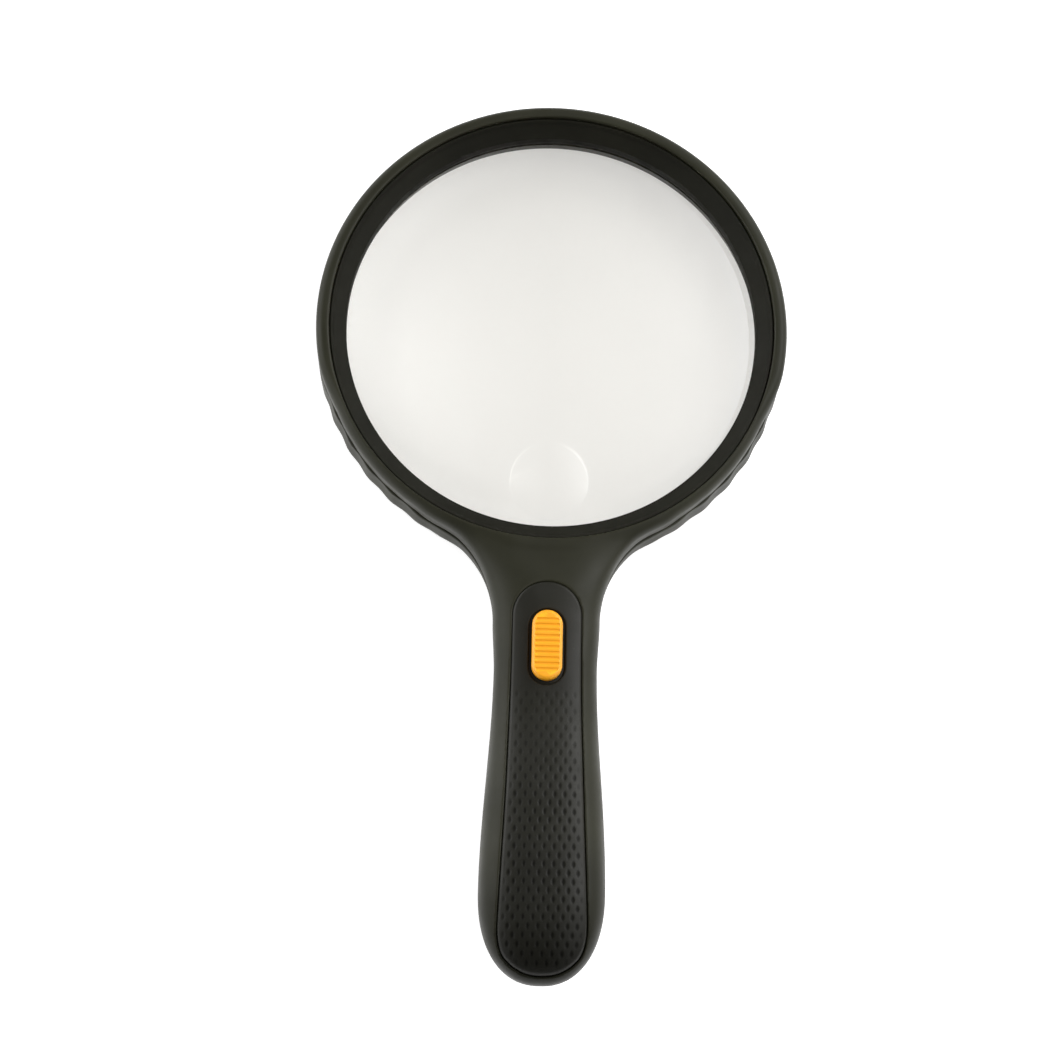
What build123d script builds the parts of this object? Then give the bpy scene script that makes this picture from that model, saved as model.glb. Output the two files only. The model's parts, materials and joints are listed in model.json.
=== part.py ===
from build123d import *
import math
import os

# Illuminated hand magnifier with a round lens and a straight battery handle.
# Units are mm.  It lies on its back: +Z is the lens normal, the handle runs
# towards -Y.  "Station" means the distance from the lens axis towards the butt.

# ---- overall sizes -------------------------------------------------------
RING_R = 78.0            # outer radius of the lens ring
RING_H = 20.0            # depth of the lens ring
BUTT = 216.0             # station of the butt end
RING_Y = (BUTT - RING_R) / 2
PART_Z = 11.0            # parting plane between the two shell halves
WALL = 2.2               # wall of the rear shell
FRONT_WALL = 2.9         # front wall with the pad on top of it
PAD_T = 1.5              # grip pad thickness

# ---- handle shape --------------------------------------------------------
FLARE_R = 35.0           # concave radius between ring and handle
NECK_W = 17.3            # half widths
WAIST_W = 16.6
BELLY_W = 19.95
WAIST = 116.0            # stations
BELLY = 187.0
SECTION_N = 2.7          # squareness of the handle section
NECK_TOP = 20.1          # front surface heights
WAIST_TOP = 22.2
BELLY_TOP = 27.0
BACK_RISE = 1.4          # how far the back lifts off the table at the waist

PAD_TOP = 88.4           # station of the top of the pad's arch
PAD_ARCH_R = 11.2
PAD_END = 213.6

# ---- lens ----------------------------------------------------------------
LENS_R = 69.0
LENS_BACK_EDGE = 7.8
LENS_EDGE = 2.5
LENS_SPHERE = 345.0
APERTURE_R = 68.1
INSERT_STATION = 52.6
INSERT_R = 12.7
INSERT_SPHERE = 58.0
BEZEL_R = 73.3
BEZEL_GAP = 0.25

# ---- switch --------------------------------------------------------------
KNOB = 109.9             # station of the knob centre, switched off
KNOB_L = 22.7
KNOB_W = 9.7
KNOB_LIFT = 0.3
KNOB_H = 3.2
TRAVEL = 4.0
SWITCH_MID = KNOB - TRAVEL / 2
CAN_TOP = 16.9
EAR = 12.7               # ear holes either side of the switch centre

# ---- batteries -----------------------------------------------------------
CELL_R = 5.25
CELL_L = 44.5
HEAD_PLATE = 146.0
SPRING_L = 4.2
BUTT_PLATE = HEAD_PLATE + CELL_L + SPRING_L
PLATE_T = 0.4
CELL_LOW_Z = 7.95
CELL_HIGH_Z = 17.1
CELL_X = 5.45
BULKHEAD_T = 1.4

# ---- battery door --------------------------------------------------------
HINGE = 148.0            # station of the door pivot
HINGE_Z = 1.15
KNUCKLE_R = 1.15
DOOR_END = 193.4
DOOR_W = 11.6
DOOR_GAP = 0.3

# ---- screws: x, station, height of the head seat --------------------------
SCREWS = [(-19.0, 78.5, 4.0), (19.0, 78.5, 4.0), (-10.9, 100.0, 4.4), (10.9, 100.0, 4.4), (0.0, 206.0, 6.6)]
SCREW_L = 10.0

# ---- lamp ----------------------------------------------------------------
LAMP_TILT = 25.0
LAMP = 86.0
LAMP_Z = 12.8
LED_X = 6.5
WINDOW = (24.0, 10.0)
WINDOW_MID = 79.6
WIRE_R = 0.6


def at(x, station, z):
    """Point from its side offset, station and height."""
    return Vector(x, RING_Y - station, z)


def spot(x, station, z):
    """Location at a side offset, station and height."""
    return Pos(x, RING_Y - station, z)


def ease(value, start, end):
    """Smooth step from 0 at start to 1 at end."""
    t = min(max((value - start) / (end - start), 0.0), 1.0)
    return t * t * (3 - 2 * t)


def butt_factor(s):
    """Shrink of the section towards the rounded butt."""
    if s <= BELLY:
        return 1.0
    t = (s - BELLY) / (BUTT - BELLY)
    return max(1 - t**2.25, 0.0) ** (1 / 2.25)


def half_width(s):
    """Half width of the handle at a station."""
    side = NECK_W + FLARE_R
    centre = math.sqrt((RING_R + FLARE_R) ** 2 - side**2)
    if s < centre:
        return side - math.sqrt(max(FLARE_R**2 - (centre - s) ** 2, 0.0))
    if s < WAIST:
        return NECK_W + (WAIST_W - NECK_W) * ease(s, centre, WAIST)
    return (WAIST_W + (BELLY_W - WAIST_W) * ease(s, WAIST, BELLY)) * butt_factor(s)


def front_z(s):
    """Height of the handle's front surface on the centre line."""
    low = NECK_TOP + (WAIST_TOP - NECK_TOP) * ease(s, 74, 94)
    top = low + (BELLY_TOP - WAIST_TOP) * ease(s, 124, 160)
    mid = BELLY_TOP / 2
    return mid + (top - mid) * butt_factor(s)


def back_z(s):
    """Height of the handle's back on the centre line."""
    low = BACK_RISE * (ease(s, 76, 104) - ease(s, 118, 148))
    mid = BELLY_TOP / 2
    return mid + (low - mid) * butt_factor(s)


def section(s, inset):
    """Closed squared-off oval across the handle."""
    a = half_width(s) - inset
    b = (front_z(s) - back_z(s)) / 2 - inset
    mid = (front_z(s) + back_z(s)) / 2
    points = []
    for i in range(24):
        t = math.radians(15 * i)
        c, d = math.cos(t), math.sin(t)
        x = a * math.copysign(abs(c) ** (2 / SECTION_N), c)
        z = b * math.copysign(abs(d) ** (2 / SECTION_N), d)
        points.append(at(x, s, mid + z))
    return Wire([Edge.make_spline(points, periodic=True)])


def handle_body(inset):
    """Solid handle, shrunk all round by the inset."""
    stations = [68.5, 70, 73, 76.5, 80, 84, 88, 93, 100, 108, 117, 126, 139, 152, 165, 178, 187]
    stations += [BELLY + (BUTT - BELLY - inset) * f for f in (0.3, 0.5, 0.68, 0.82, 0.92, 0.975)]
    if inset == 0:
        stations.append(BUTT)
    rings = []
    for s in stations:
        if s < BUTT:
            rings.append(section(s, inset if s <= BELLY else inset * 0.9))
    if inset == 0:
        tip = [at(2.4 * math.cos(math.radians(15 * i)), BUTT, BELLY_TOP / 2 + 1.6 * math.sin(math.radians(15 * i)))
               for i in range(24)]
        rings.append(Wire([Edge.make_spline(tip, periodic=True)]))
    return Solid.make_loft(rings)


def slab(z0, z1):
    """Everything between two heights."""
    return Pos(0, 0, (z0 + z1) / 2) * Box(400, 400, z1 - z0)


def tube(r, z0, z1):
    """Cylinder on the lens axis."""
    return spot(0, 0, (z0 + z1) / 2) * Cylinder(r, z1 - z0)


def block(x0, x1, s0, s1, z0, z1):
    """Box from its limits."""
    return spot((x0 + x1) / 2, (s0 + s1) / 2, (z0 + z1) / 2) * Box(x1 - x0, s1 - s0, z1 - z0)


def turned(*edges):
    """Ring turned about the lens axis from a profile in (radius, height)."""
    face = Plane.XZ * make_face(Curve() + list(edges))
    return spot(0, 0, 0) * revolve(face, Axis.Z)


def ring_front():
    """Front half of the ring: side wall and rounded lip."""
    r, h = RING_R, RING_H
    inner = BEZEL_R + BEZEL_GAP
    return turned(
        Polyline((inner, h - 1.2), (inner, 14.0), (r - WALL, 13.0), (r - WALL, PART_Z), (r - 0.1, PART_Z), (r, 15.6)),
        ThreePointArc((r, 15.6), (r - 0.62, h - 1.3), (r - 2.4, h)),
        ThreePointArc((r - 2.4, h), (r - 3.7, h - 0.3), (inner, h - 1.2)),
    )


def ring_rear():
    """Rear half of the ring: side wall, floor, lens seat and lens pocket."""
    r = RING_R
    seat = APERTURE_R
    pocket = LENS_R + 0.2
    return turned(
        Polyline((r - 0.1, PART_Z), (r - WALL - 0.1, PART_Z), (r - WALL - 0.5, WALL), (71.2, WALL), (71.0, PART_Z),
                 (pocket, PART_Z), (pocket, LENS_BACK_EDGE), (seat, LENS_BACK_EDGE - 0.35), (seat, 1.4)),
        ThreePointArc((seat, 1.4), (seat + 0.42, 0.42), (seat + 1.4, 0)),
        Line((seat + 1.4, 0), (r - 2.6, 0)),
        ThreePointArc((r - 2.6, 0), (r - 1.1, 0.55), (r - 0.5, 2.2)),
        Line((r - 0.5, 2.2), (r - 0.1, PART_Z)),
    )


def pad_outline(grow):
    """Plan of the grip pad: round arch at the neck, flared sides, rounded end short of the butt."""
    arch = PAD_ARCH_R + grow
    start = PAD_TOP + PAD_ARCH_R
    flank = [(PAD_ARCH_R, start), (PAD_ARCH_R + 0.1, 126), (12.3, 160), (13.75, 191), (13.9, 198)]
    end = [(13.1, 204), (11.0, 208.5), (7.6, 211.7), (3.6, 213.2), (0, PAD_END)]
    edge = [(x + grow, s) for x, s in flank]
    edge += [(x + grow * x / 14, s + grow * (1 - x / 14)) for x, s in end]
    side = Spline(*[at(x, s, 0) for x, s in edge], tangents=((0, -1, 0), (-1, 0, 0)))
    top = ThreePointArc(at(-arch, start, 0), at(0, start - arch, 0), at(arch, start, 0))
    return make_face(Curve() + [side, mirror(side, about=Plane.YZ), top])


def pad_prism(grow):
    """Column over the pad plan, open upwards."""
    return Pos(0, 0, 14.0 - grow) * extrude(pad_outline(grow), 20)


def scallops():
    """Shallow finger hollows round both lower sides of the ring."""
    cuts = []
    for side in (-1, 1):
        for i in range(6):
            angle = math.radians(-(19.6 + 8.2 * i))
            x = (RING_R + 9.55) * math.cos(angle) * side
            y = RING_Y + (RING_R + 9.55) * math.sin(angle)
            cuts.append(Pos(x, y, 6.0) * Cylinder(10.0, 10.4))
    return cuts


def screw_hole(x, s, seat):
    """Counterbore and clearance hole through the rear shell."""
    bore = spot(x, s, seat / 2 - 2) * Cylinder(2.6, seat + 4)
    return bore + spot(x, s, 8) * Cylinder(1.5, 12)


def bulkheads():
    """Two cross walls that close the battery bay."""
    head = block(-18, 18, HEAD_PLATE - PLATE_T - BULKHEAD_T, HEAD_PLATE - PLATE_T, 0, 30)
    butt = block(-18, 18, BUTT_PLATE + PLATE_T, BUTT_PLATE + PLATE_T + BULKHEAD_T, 0, 30)
    return [head, butt]


def wire_passages():
    """Holes in the head bulkhead for the two battery wires."""
    middle = HEAD_PLATE - PLATE_T - BULKHEAD_T / 2
    low = spot(-7.5, middle, 9.4) * Rot(90, 0, 0) * Cylinder(0.95, 3)
    side = spot(-12.9, middle, 13.6) * Rot(90, 0, 0) * Cylinder(0.95, 3)
    return [low, side]


def lamp_place():
    """Tilted place of the lamp board's underside."""
    return spot(0, LAMP, LAMP_Z) * Rot(LAMP_TILT, 0, 0)


def knob_slot():
    """Slot for the knob's stem through pad and shell."""
    length = 7.5 + TRAVEL + 0.7
    return spot(0, SWITCH_MID, 21) * extrude(SlotOverall(length, 4.4, rotation=90), 6, both=True)


def screw_bosses(r):
    """Columns round the screws, through the whole height."""
    return [spot(x, s, 15) * Cylinder(r, 40) for x, s, seat in SCREWS]


def lamp_posts():
    """Two posts that hold the lamp board down from the front wall."""
    under = lamp_place() * Pos(0, 0, -9) * Box(60, 30, 20)
    return [spot(x, LAMP + 0.6, 20) * Cylinder(1.5, 16) - under for x in (-10.2, 10.2)]


def switch_posts():
    """Two posts for the ears of the switch."""
    return [spot(0, SWITCH_MID + d, CAN_TOP + 5) * Cylinder(2.7, 10) for d in (-EAR, EAR)]


def front_shell(body, pad_bed):
    """Front half of the housing."""
    cavity = handle_body(FRONT_WALL) - tube(BEZEL_R + 2.2, -1, 30)
    cavity = (cavity & slab(0, 40)) - bulkheads() - screw_bosses(2.8)
    cavity = cavity - lamp_posts() - switch_posts()
    shell = ring_front() + (body & slab(PART_Z, 40)) - tube(BEZEL_R + BEZEL_GAP, -1, 40)
    shell = shell - cavity
    shell = shell - (pad_prism(BEZEL_GAP) - pad_bed)
    for d in (-EAR, EAR):
        shell = shell - spot(0, SWITCH_MID + d, 18.3) * Cylinder(1.05, 3.4)
    for x, s, seat in SCREWS:
        shell = shell - spot(x, s, PART_Z + 2.9) * Cylinder(1.25, 6.4)
    shell = shell - knob_slot()
    return shell - wire_passages()


def rear_shell(body):
    """Rear half of the housing, with the lens pocket and the door opening."""
    cavity = handle_body(WALL) - tube(71.0, -1, 30)
    cavity = (cavity & slab(-1, 12)) - bulkheads() - screw_bosses(3.3)
    shell = ring_rear() + (body & slab(-1, PART_Z)) - tube(APERTURE_R, -1, 40)
    shell = shell - tube(LENS_R + 0.2, LENS_BACK_EDGE, 40)
    shell = shell - cavity
    for x, s, seat in SCREWS:
        shell = shell - screw_hole(x, s, seat)
    gap = DOOR_GAP
    shell = shell - block(-DOOR_W - gap, DOOR_W + gap, HINGE, DOOR_END + gap, -1, 6)
    shell = shell - spot(0, HINGE, HINGE_Z) * Rot(0, 90, 0) * Cylinder(KNUCKLE_R + gap + 0.1, 2 * (DOOR_W + gap))
    wide, long = WINDOW
    shell = shell - spot(0, WINDOW_MID, 1) * Box(wide + 0.2, long + 0.2, 6)
    shell = shell - spot(0, WINDOW_MID, 1.4 + 5) * Box(wide + 2.2, long + 2.2, 10)
    shell = shell - scallops()
    return shell - wire_passages()


def battery_door(body):
    """Skin panel of the back with a hinge knuckle, a stiffening rib and a thumb notch."""
    plan = block(-DOOR_W, DOOR_W, HINGE, DOOR_END, -1, 6)
    door = (body & plan) - handle_body(WALL)
    knuckle = spot(0, HINGE, HINGE_Z) * Rot(0, 90, 0) * Cylinder(KNUCKLE_R, 17)
    rib = block(-0.9, 0.9, HINGE + 4, DOOR_END - 4, 1.2, 3.7)
    door = door + knuckle + rib
    notch = spot(0, DOOR_END - 5, -1.6) * Rot(90, 0, 0) * Cylinder(2.6, 1.2)
    for i in range(3):
        door = door - Pos(0, 1.9 * i, 0) * notch
    return door


def lens_main():
    """Double convex lens with a narrow cylindrical edge."""
    drop = LENS_SPHERE - math.sqrt(LENS_SPHERE**2 - LENS_R**2)
    front_edge = LENS_BACK_EDGE + LENS_EDGE
    return turned(
        Polyline((0, front_edge + drop), (0, LENS_BACK_EDGE - drop)),
        ThreePointArc((0, LENS_BACK_EDGE - drop), lens_arc(LENS_R / 2, -1), (LENS_R, LENS_BACK_EDGE)),
        Line((LENS_R, LENS_BACK_EDGE), (LENS_R, front_edge)),
        ThreePointArc((LENS_R, front_edge), lens_arc(LENS_R / 2, 1), (0, front_edge + drop)),
    )


def lens_arc(r, side):
    """Point of a lens surface at a radius; side is 1 in front, -1 behind."""
    whole = math.sqrt(LENS_SPHERE**2 - LENS_R**2)
    rise = math.sqrt(LENS_SPHERE**2 - r**2) - whole
    base = LENS_BACK_EDGE + LENS_EDGE if side > 0 else LENS_BACK_EDGE
    return (r, base + side * rise)


def bifocal_lens():
    """Strong round insert standing on the front of the main lens."""
    whole = math.sqrt(LENS_SPHERE**2 - LENS_R**2)
    centre_z = LENS_BACK_EDGE + LENS_EDGE - whole
    big = spot(0, 0, centre_z) * Sphere(LENS_SPHERE)
    tilt = math.asin(INSERT_STATION / LENS_SPHERE)
    reach = math.sqrt(LENS_SPHERE**2 - INSERT_R**2) - math.sqrt(INSERT_SPHERE**2 - INSERT_R**2)
    small = spot(0, reach * math.sin(tilt), centre_z + reach * math.cos(tilt)) * Sphere(INSERT_SPHERE)
    near = spot(0, INSERT_STATION, 14) * Cylinder(INSERT_R + 2, 12)
    return (small & near) - big


def lens_bezel():
    """Sloping ring that holds the lens from the front."""
    foot = lens_arc(APERTURE_R, 1)[1] + 0.03
    top = RING_H - 1.5
    return turned(
        Polyline((APERTURE_R, 14.8), (APERTURE_R, foot), (LENS_R, foot), (LENS_R, PART_Z + 0.1), (70.2, PART_Z + 0.1),
                 (70.4, 14.0), (71.8, 14.6), (72.0, PART_Z + 0.1), (BEZEL_R - 0.3, PART_Z + 0.1),
                 (BEZEL_R, PART_Z + 0.5), (BEZEL_R, top - 0.3)),
        ThreePointArc((BEZEL_R, top - 0.3), (BEZEL_R - 0.25, top), (BEZEL_R - 0.7, top - 0.12)),
        Line((BEZEL_R - 0.7, top - 0.12), (APERTURE_R + 0.7, 15.1)),
        ThreePointArc((APERTURE_R + 0.7, 15.1), (APERTURE_R + 0.2, 15.05), (APERTURE_R, 14.8)),
    )


def grip_pad(body, pad_bed):
    """Soft inlay over the front of the handle, wrapping over the butt."""
    return (body & pad_prism(0)) - pad_bed - knob_slot()


def switch_knob():
    """Ribbed thumb slide with a stem and a socket for the switch lever."""
    base = WAIST_TOP + KNOB_LIFT
    plan = SlotOverall(KNOB_L, KNOB_W, rotation=90)
    knob = spot(0, KNOB, base) * extrude(plan, KNOB_H)
    knob = chamfer(knob.faces().sort_by(Axis.Z)[-1].edges(), 0.9)
    for i in range(10):
        groove = spot(0, KNOB - 8.1 + 1.8 * i, base + KNOB_H + 0.15) * Rot(0, 90, 0)
        knob = knob - groove * Cylinder(0.55, KNOB_W - 3.4)
    stem = spot(0, KNOB, base + 0.5) * extrude(SlotOverall(7.5, 3.8, rotation=90), -4.8)
    knob = knob + stem
    return knob - block(-1.55, 1.55, KNOB - 1.55, KNOB + 1.55, base - 6, 20.9)


def switch_frame():
    """Folded steel can of the slide switch with two ears."""
    mid = SWITCH_MID
    can = block(-3.5, 3.5, mid - 9.5, mid + 9.5, 11.6, CAN_TOP)
    can = can - block(-3.1, 3.1, mid - 9.1, mid + 9.1, 11, CAN_TOP - 0.5)
    ears = spot(0, mid, CAN_TOP - 0.25) * Box(7, 2 * EAR + 6, 0.5)
    frame = can + ears
    frame = frame - block(-1.8, 1.8, mid - 4.0, mid + 4.0, CAN_TOP - 1, CAN_TOP + 1)
    for d in (-EAR, EAR):
        frame = frame - spot(0, mid + d, CAN_TOP) * Cylinder(1.15, 3)
    return frame


def switch_base():
    """Insulating floor of the switch."""
    mid = SWITCH_MID
    base = block(-3.05, 3.05, mid - 9.05, mid + 9.05, 11.65, 13.0)
    for d in (-4.7, 0, 4.7):
        base = base - block(-0.85, 0.85, mid + d - 0.35, mid + d + 0.35, 11, 14)
    return base


def switch_terminals():
    """Three flat pins through the switch base."""
    pins = []
    for d in (-4.7, 0, 4.7):
        s = SWITCH_MID + d
        pins.append(block(-0.8, 0.8, s - 0.3, s + 0.3, 8.4, 13.0) + block(-1.2, 1.2, s - 1.3, s + 1.3, 13.0, 13.35))
    return Compound(children=pins)


def switch_lever():
    """Sliding block and lever of the switch."""
    slider = block(-2.8, 2.8, KNOB - 5, KNOB + 5, 14.3, 16.2)
    return slider + block(-1.5, 1.5, KNOB - 1.5, KNOB + 1.5, 16.0, 20.8)


def switch_wiper():
    """Springy contact strip under the slider."""
    strip = block(-1.1, 1.1, KNOB - 3.6, KNOB + 3.6, 13.85, 14.25)
    feet = [block(-1.1, 1.1, KNOB + d - 0.5, KNOB + d + 0.5, 13.4, 14.0) for d in (-2.7, 2.7)]
    return strip + feet


def switch_screws():
    """Two short screws through the ears of the switch."""
    screws = []
    for d in (-EAR, EAR):
        shank = spot(0, SWITCH_MID + d, 17.9) * Cylinder(1.0, 3.4)
        head = spot(0, SWITCH_MID + d, CAN_TOP - 0.5 - 0.6) * Cylinder(1.9, 1.2)
        slot = spot(0, SWITCH_MID + d, CAN_TOP - 1.7) * Box(0.5, 3, 0.8)
        screws.append(head + shank - slot)
    return Compound(children=screws)


def lamp_window():
    """Clear plug in the back of the neck."""
    wide, long = WINDOW
    plate = spot(0, WINDOW_MID, 0.875) * Box(wide, long, 1.05)
    flange = spot(0, WINDOW_MID, 1.9) * Box(wide + 2, long + 2, 1.0)
    plate = fillet(plate.edges().filter_by(Axis.Z), 0.8)
    return plate + flange


def led_board():
    """Small circuit board that carries the lamps."""
    return lamp_place() * Pos(0, 0, 0.5) * Box(24, 9, 1.0)


def led(x):
    """Round lamp pointing back through the window."""
    flange = Pos(x, 0, -0.5) * Cylinder(2.9, 1.0)
    barrel = Pos(x, 0, -3.5) * Cylinder(2.5, 5.2)
    dome = Pos(x, 0, -6.1) * Sphere(2.5)
    return lamp_place() * (flange + barrel + dome)


def led_resistor():
    """Resistor with its two leads bent down to the board."""
    path = Curve() + [
        Line((-4.2, 0, 1.0), (-4.2, 0, 1.6)),
        ThreePointArc((-4.2, 0, 1.6), (-4.024, 0, 2.024), (-3.6, 0, 2.2)),
        Line((-3.6, 0, 2.2), (3.6, 0, 2.2)),
        ThreePointArc((3.6, 0, 2.2), (4.024, 0, 2.024), (4.2, 0, 1.6)),
        Line((4.2, 0, 1.6), (4.2, 0, 1.0)),
    ]
    leads = sweep(Pos(-4.2, 0, 1.0) * Circle(0.28), path=path)
    body = Pos(0, 0, 2.2) * Rot(0, 90, 0) * Cylinder(0.95, 4.6)
    return lamp_place() * Pos(0, -2.2, 0) * (leads + body)


def cell(x, z, positive_to_head):
    """Battery cell lying along the handle."""
    can = Cylinder(CELL_R, CELL_L - 1.2)
    can = fillet(can.edges(), 0.5)
    nub = Pos(0, 0, CELL_L / 2 - 0.6 + 0.0) * Cylinder(1.9, 1.4)
    body = Pos(0, 0, -0.6) * can + Pos(0, 0, -0.1) * nub
    if positive_to_head:
        return spot(x, HEAD_PLATE + CELL_L / 2, z) * Rot(-90, 0, 0) * body
    return spot(x, BUTT_PLATE - CELL_L / 2, z) * Rot(90, 0, 0) * body


def coil(x, s, z, towards):
    """Coil spring from a plate to a cell's flat end."""
    turns = 3.5
    length = SPRING_L - 0.7
    path = Helix(pitch=length / turns, height=length, radius=2.6)
    wire = sweep(Plane(path @ 0, z_dir=path % 0) * Circle(0.3), path=path, is_frenet=True)
    turn = 90 if towards == "butt" else -90
    return spot(x, s, z) * Rot(turn, 0, 0) * Pos(0, 0, 0.35) * wire


def contact_plate_positive():
    """Plate at the first cell's button end."""
    return block(-9.9, -0.9, HEAD_PLATE - PLATE_T, HEAD_PLATE, 3.6, 11.8)


def bridge_plate_head():
    """Plate that joins the second and third cells."""
    low = block(0.9, 9.9, HEAD_PLATE - PLATE_T, HEAD_PLATE, 3.6, 12.4)
    return low + block(-4.2, 4.2, HEAD_PLATE - PLATE_T, HEAD_PLATE, 12.3, 20.6)


def bridge_plate_butt():
    """Plate that joins the first and second cells."""
    return block(-9.9, 9.9, BUTT_PLATE, BUTT_PLATE + PLATE_T, 3.8, 11.8)


def contact_plate_negative():
    """Plate at the third cell's flat end."""
    return block(-4.6, 4.6, BUTT_PLATE, BUTT_PLATE + PLATE_T, 12.5, 20.6)


def housing_screws():
    """Five self-tapping screws that join the shells."""
    screws = []
    for x, s, seat in SCREWS:
        head = spot(x, s, seat - 0.85) * Cylinder(2.3, 1.7)
        head = fillet(head.edges().sort_by(Axis.Z)[0], 0.7)
        shank = spot(x, s, seat + SCREW_L / 2) * Cylinder(1.2, SCREW_L)
        cross = spot(x, s, seat - 1.5) * (Box(2.6, 0.6, 1.6) + Box(0.6, 2.6, 1.6))
        screws.append(head + shank - cross)
    return Compound(children=screws)


def wire(*points):
    """Insulated wire: straight runs joined by the largest arcs that fit."""
    corners = [at(*p) for p in points]
    radii = []
    for before, here, after in zip(corners, corners[1:], corners[2:]):
        turn = math.radians((here - before).get_angle(after - here))
        run = min((here - before).length, (after - here).length)
        radii.append(0.45 * run / math.tan(turn / 2))
    path = FilletPolyline(*corners, radius=radii)
    return sweep(Plane(path @ 0, z_dir=path % 0) * Circle(WIRE_R), path=path)


def board_point(x, y):
    """Point just clear of the lamp board's upper face, as side offset, station and height."""
    tilt = math.radians(LAMP_TILT)
    up = 1.0 + WIRE_R + 0.05
    return (x, LAMP - y * math.cos(tilt) + up * math.sin(tilt), LAMP_Z + y * math.sin(tilt) + up * math.cos(tilt))


def main():
    os.makedirs("parts", exist_ok=True)
    body = handle_body(0)
    pad_bed = handle_body(PAD_T)
    first, middle = SWITCH_MID + 4.7, SWITCH_MID
    parts = {
        "front_shell": front_shell(body, pad_bed),
        "rear_shell": rear_shell(body),
        "lens_main": lens_main(),
        "bifocal_lens": bifocal_lens(),
        "lens_bezel": lens_bezel(),
        "grip_pad": grip_pad(body, pad_bed),
        "switch_knob": switch_knob(),
        "switch_frame": switch_frame(),
        "switch_base": switch_base(),
        "switch_terminals": switch_terminals(),
        "switch_lever": switch_lever(),
        "switch_wiper": switch_wiper(),
        "switch_screws": switch_screws(),
        "lamp_window": lamp_window(),
        "led_board": led_board(),
        "led_1": led(-LED_X),
        "led_2": led(LED_X),
        "led_resistor": led_resistor(),
        "battery_door": battery_door(body),
        "cell_1": cell(-CELL_X, CELL_LOW_Z, True),
        "cell_2": cell(CELL_X, CELL_LOW_Z, False),
        "cell_3": cell(0, CELL_HIGH_Z, True),
        "spring_1": coil(-CELL_X, BUTT_PLATE, CELL_LOW_Z, "head"),
        "spring_2": coil(CELL_X, HEAD_PLATE, CELL_LOW_Z, "butt"),
        "spring_3": coil(0, BUTT_PLATE, CELL_HIGH_Z, "head"),
        "contact_plate_positive": contact_plate_positive(),
        "bridge_plate_head": bridge_plate_head(),
        "bridge_plate_butt": bridge_plate_butt(),
        "contact_plate_negative": contact_plate_negative(),
        "housing_screws": housing_screws(),
        "wire_positive": wire((-7.5, HEAD_PLATE - 0.45, 9.4), (-7.5, 137, 9.4), (-5.6, 127, 8.2), (-2.2, 119, 7.4),
                              (0, first, 7.7)),
        "wire_switched": wire((0, middle, 7.7), (-0.6, 103, 6.8), (-3.6, 98, 7.6), (-5.3, 94, 10.6),
                              board_point(-5.5, -4.4)),
        "wire_return": wire((-5.3, BUTT_PLATE - 0.4, 17.0), (-8.6, 191, 16.6), (-12.0, 184.5, 14.6),
                            (-12.9, 174, 13.6), (-12.95, 143, 13.5), (-12.0, 132, 13.6), (-9.2, 121, 13.9),
                            (-6.9, 110, 14.4), (-6.1, 100, 14.6), (-4.0, 95, 14.0), board_point(-2.6, -4.4)),
    }
    for name, shape in parts.items():
        export_step(shape, f"parts/{name}.step")


main()
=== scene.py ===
import json
import math

import bpy
import numpy as np
from mathutils import Matrix, Vector


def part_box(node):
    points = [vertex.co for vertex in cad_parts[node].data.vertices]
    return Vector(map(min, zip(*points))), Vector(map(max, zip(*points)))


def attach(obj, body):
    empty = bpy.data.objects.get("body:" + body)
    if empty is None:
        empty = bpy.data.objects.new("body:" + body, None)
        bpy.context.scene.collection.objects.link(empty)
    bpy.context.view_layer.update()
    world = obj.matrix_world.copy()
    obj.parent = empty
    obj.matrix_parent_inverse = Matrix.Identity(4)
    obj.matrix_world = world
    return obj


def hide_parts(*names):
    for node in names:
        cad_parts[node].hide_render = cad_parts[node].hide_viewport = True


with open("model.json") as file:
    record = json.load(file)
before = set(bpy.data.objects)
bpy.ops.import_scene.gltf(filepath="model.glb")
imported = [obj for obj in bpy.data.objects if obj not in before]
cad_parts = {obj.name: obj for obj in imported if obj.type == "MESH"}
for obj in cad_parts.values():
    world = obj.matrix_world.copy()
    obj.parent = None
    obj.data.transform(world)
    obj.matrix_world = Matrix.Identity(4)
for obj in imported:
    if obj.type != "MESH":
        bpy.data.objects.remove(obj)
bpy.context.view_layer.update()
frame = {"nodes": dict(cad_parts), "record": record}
nodes = frame["nodes"]
MM = 0.001

# ---------------------------------------------------------------- dimensions (mm)
# x runs across the object, s is the station from the ring's centre towards the butt, z is up.
lens_low, lens_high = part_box("lens_main")
knob_low, knob_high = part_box("switch_knob")
shell_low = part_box("front_shell")[0]

RING_Y = (lens_low.y + lens_high.y) / 2 / MM
RING_R, RING_H = 78.0, 20.0
BUTT = RING_Y - shell_low.y / MM
PART_Z, SEAM = 11.0, 0.06
WALL, FRONT_WALL, PAD_T = 2.2, 2.9, 1.5

# handle: half widths, stations, heights and the exponents of its rounded sections; a pair is the
# stretch of stations, angles or heights over which a change eases in
FLARE_R = 35.0
NECK_W, WAIST_W, BELLY_W = 17.3, 16.6, 19.95
WAIST, BELLY = 116.0, 187.0
SECTION_N, NECK_SQUARER, BUTT_N = 2.7, 1.1, 2.25
NECK_TOP, WAIST_TOP, BELLY_TOP = 20.1, 22.2, 27.0
BACK_LIFT = 1.4
RIM_START = 40
NECK_SQUARE_RUN = (70, 100)
NECK_RISE, BELLY_RISE = (74, 94), (124, 160)
BACK_UP, BACK_DOWN = (76, 104), (118, 148)
SLOPE_STEP = 0.2
NEAR_AXIS, FLATTEST = 1e-4, 1e-3

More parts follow.
